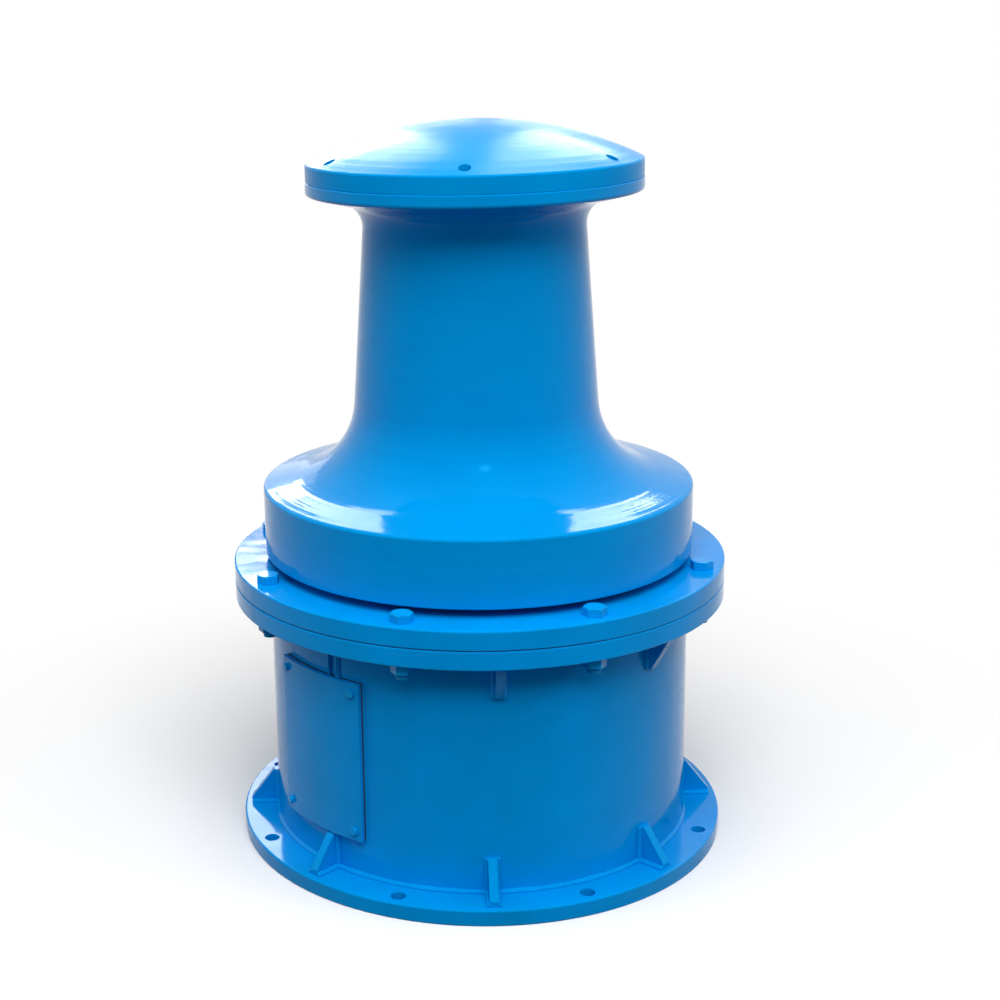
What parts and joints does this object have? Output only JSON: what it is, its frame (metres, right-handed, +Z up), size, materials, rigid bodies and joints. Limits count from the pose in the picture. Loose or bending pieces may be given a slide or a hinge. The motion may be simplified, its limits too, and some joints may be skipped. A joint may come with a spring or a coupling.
{
  "type": "deck capstan",
  "caption": "Vertical electric deck capstan: a flared rope drum with a domed cap, on a flanged round housing that holds the motor.",
  "frame": {"origin": "centre of the base flange's underside, where the capstan meets the deck", "axes": "+Z up along the drum's axis; -Y is the side seen from the front, with the access door to its left"},
  "size_m": [0.6811, 0.6812, 0.991],
  "materials": {
    "hull_paint": "gloss marine enamel",
    "painted_fastener": "gloss marine enamel over zinc",
    "gasket_rubber": "matte black nitrile",
    "bare_cast_iron": "machined and oiled",
    "gear_steel": "ground and oiled",
    "screw_steel": "black oxide",
    "motor_grey": "satin machinery enamel",
    "lamination_steel": "varnished laminations",
    "copper_winding": "varnished copper",
    "friction_lining": "matte moulded lining"
  },
  "bodies": {
    "housing": {"base_flange": "hull_paint", "housing_shell": "hull_paint", "top_flange": "hull_paint", "base_gussets": "hull_paint", "flange_gussets": "hull_paint", "access_cover": "hull_paint", "access_gasket": "gasket_rubber", "access_screws": "painted_fastener", "flange_gasket": "gasket_rubber", "deck_plate": "hull_paint", "flange_bolts": "painted_fastener", "flange_nuts": "painted_fastener", "gear_case": "bare_cast_iron", "gear_case_screws": "screw_steel", "ring_gear": "gear_steel", "case_cover": "bare_cast_iron", "case_cover_screws": "screw_steel", "input_cover": "bare_cast_iron", "input_seal": "gasket_rubber", "output_seal": "gasket_rubber", "motor_frame": "motor_grey", "motor_front_shield": "motor_grey", "motor_rear_shield": "motor_grey", "stator_core": "lamination_steel", "stator_windings": "copper_winding", "front_motor_bearing": "gear_steel", "rear_motor_bearing": "gear_steel", "motor_bolts": "screw_steel", "terminal_box": "motor_grey", "terminal_lid": "motor_grey", "terminal_gland": "gasket_rubber", "brake_magnet": "bare_cast_iron", "brake_cover": "motor_grey"},
    "drum": {"drum": "hull_paint", "drum_cap": "hull_paint", "cap_screws": "screw_steel", "drive_disc": "bare_cast_iron", "drive_disc_screws": "screw_steel", "output_nut": "gear_steel", "output_carrier": "gear_steel", "second_planet_pins": "gear_steel", "lower_drum_bearing": "gear_steel", "upper_drum_bearing": "gear_steel", "bearing_retainer": "bare_cast_iron", "retainer_screws": "screw_steel", "drum_seal": "gasket_rubber"},
    "first_carrier": {"first_carrier": "gear_steel", "first_planet_pins": "gear_steel", "second_sun": "gear_steel"},
    "rotor": {"rotor_shaft": "gear_steel", "rotor_core": "lamination_steel", "input_sun": "gear_steel", "brake_disc": "friction_lining"},
    "armature": {"brake_armature": "gear_steel"},
    "first_planet_1": {"first_planet_1": "gear_steel"},
    "first_planet_2": {"first_planet_2": "gear_steel"},
    "first_planet_3": {"first_planet_3": "gear_steel"},
    "second_planet_1": {"second_planet_1": "gear_steel"},
    "second_planet_2": {"second_planet_2": "gear_steel"},
    "second_planet_3": {"second_planet_3": "gear_steel"}
  },
  "joints": [
    {"name": "drum_spin", "type": "hinge", "parent": "housing", "child": "drum", "pos_m": [0, 0, 0.45], "axis": [0, 0, 1], "continuous": true},
    {"name": "first_carrier_spin", "type": "hinge", "parent": "housing", "child": "first_carrier", "pos_m": [0, 0, 0.5531], "axis": [0, 0, 1], "continuous": true},
    {"name": "rotor_spin", "type": "hinge", "parent": "housing", "child": "rotor", "pos_m": [0, 0, 0.24], "axis": [0, 0, 1], "continuous": true},
    {"name": "first_planet_1_spin", "type": "hinge", "parent": "first_carrier", "child": "first_planet_1", "pos_m": [0.054, 0, 0.5231], "axis": [0, 0, 1], "continuous": true},
    {"name": "first_planet_2_spin", "type": "hinge", "parent": "first_carrier", "child": "first_planet_2", "pos_m": [-0.027, 0.04677, 0.5231], "axis": [0, 0, 1], "continuous": true},
    {"name": "first_planet_3_spin", "type": "hinge", "parent": "first_carrier", "child": "first_planet_3", "pos_m": [-0.027, -0.04677, 0.5231], "axis": [0, 0, 1], "continuous": true},
    {"name": "second_planet_1_spin", "type": "hinge", "parent": "drum", "child": "second_planet_1", "pos_m": [0.054, 0, 0.6136], "axis": [0, 0, 1], "continuous": true},
    {"name": "second_planet_2_spin", "type": "hinge", "parent": "drum", "child": "second_planet_2", "pos_m": [-0.027, 0.04677, 0.6136], "axis": [0, 0, 1], "continuous": true},
    {"name": "second_planet_3_spin", "type": "hinge", "parent": "drum", "child": "second_planet_3", "pos_m": [-0.027, -0.04677, 0.6136], "axis": [0, 0, 1], "continuous": true},
    {"name": "brake_release", "type": "slide", "parent": "housing", "child": "armature", "axis": [0, 0, -1], "range_m": [0, 0.0006], "stiffness_N_per_m": 20000, "springref_m": -0.0015}
  ],
  "couplings": [
    {"joint": "first_carrier_spin", "follows": "drum_spin", "ratio": 6},
    {"joint": "rotor_spin", "follows": "drum_spin", "ratio": 36},
    {"joint": "first_planet_1_spin", "follows": "drum_spin", "ratio": -15},
    {"joint": "first_planet_2_spin", "follows": "drum_spin", "ratio": -15},
    {"joint": "first_planet_3_spin", "follows": "drum_spin", "ratio": -15},
    {"joint": "second_planet_1_spin", "follows": "drum_spin", "ratio": -2.5},
    {"joint": "second_planet_2_spin", "follows": "drum_spin", "ratio": -2.5},
    {"joint": "second_planet_3_spin", "follows": "drum_spin", "ratio": -2.5}
  ]
}
